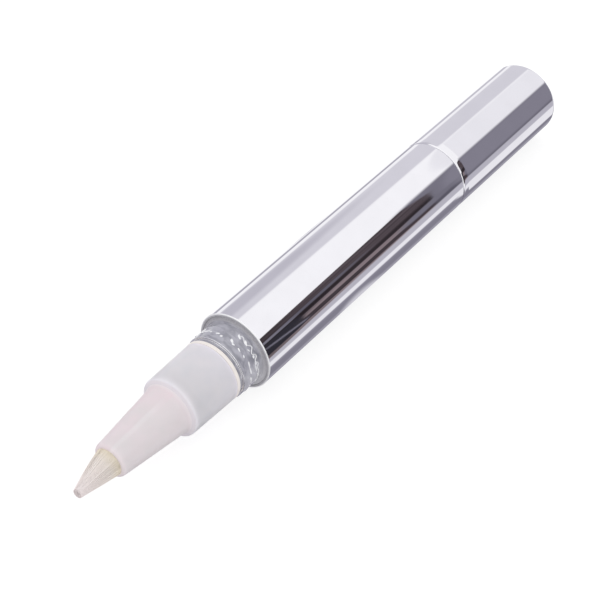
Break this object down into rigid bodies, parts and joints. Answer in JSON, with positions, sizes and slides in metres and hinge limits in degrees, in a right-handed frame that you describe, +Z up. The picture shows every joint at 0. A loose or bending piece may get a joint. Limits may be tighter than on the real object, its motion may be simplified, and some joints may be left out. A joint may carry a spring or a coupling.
{
  "type": "teeth whitening pen",
  "caption": "Twist-up gel pen: bright metal barrel and knob, clear neck, frosted collar, tapered ferrule and brush; turning the knob screws a piston forward to feed the brush.",
  "frame": {"origin": "on the surface the pen lies on, under the middle of its length", "axes": "+X along the pen's axis from the brush to the twist knob, +Z up, the pen lying on its side"},
  "size_m": [0.1184, 0.013, 0.013],
  "materials": {
    "silver_shell": "polished",
    "clear_plastic": "clear",
    "frosted_plastic": "frosted",
    "ferrule_plastic": "satin",
    "cream_seal": "satin",
    "filament": "soft",
    "white_plastic": "satin",
    "tube_plastic": "smooth",
    "piston_plastic": "satin",
    "seal_rubber": "matte",
    "mechanism_plastic": "satin",
    "spring_steel": "satin",
    "core_plastic": "satin"
  },
  "bodies": {
    "barrel": {"barrel_sleeve": "silver_shell", "reservoir_tube": "clear_plastic", "neck_gasket": "cream_seal", "nozzle_collar": "frosted_plastic", "ferrule": "ferrule_plastic", "brush": "filament", "brush_plug": "white_plastic", "feed_tube": "tube_plastic", "nozzle_insert": "white_plastic", "drive_nut": "mechanism_plastic", "ratchet_ring": "mechanism_plastic", "bearing_bush": "mechanism_plastic"},
    "knob": {"knob_shell": "silver_shell", "knob_core": "core_plastic", "drive_sleeve": "mechanism_plastic", "ratchet_pawls": "mechanism_plastic", "snap_ring": "spring_steel", "knob_o_ring": "seal_rubber"},
    "rod": {"screw_rod": "mechanism_plastic"},
    "piston": {"piston": "piston_plastic", "piston_ring_front": "seal_rubber", "piston_ring_rear": "seal_rubber"}
  },
  "joints": [
    {"name": "knob_twist", "type": "hinge", "parent": "barrel", "child": "knob", "pos_m": [0.0292, 0, 0.00648], "axis": [-1, 0, 0], "range_deg": [0, 3600], "deforming": ["ratchet_pawls"]},
    {"name": "rod_slide", "type": "slide", "parent": "knob", "child": "rod", "axis": [-1, 0, 0], "range_m": [0, 0.03]},
    {"name": "piston_slide", "type": "slide", "parent": "barrel", "child": "piston", "axis": [-1, 0, 0], "range_m": [0, 0.03]}
  ],
  "couplings": [
    {"joint": "rod_slide", "follows": "knob_twist", "m_per_rad": 0.00047746},
    {"joint": "piston_slide", "follows": "knob_twist", "m_per_rad": 0.00047746}
  ]
}
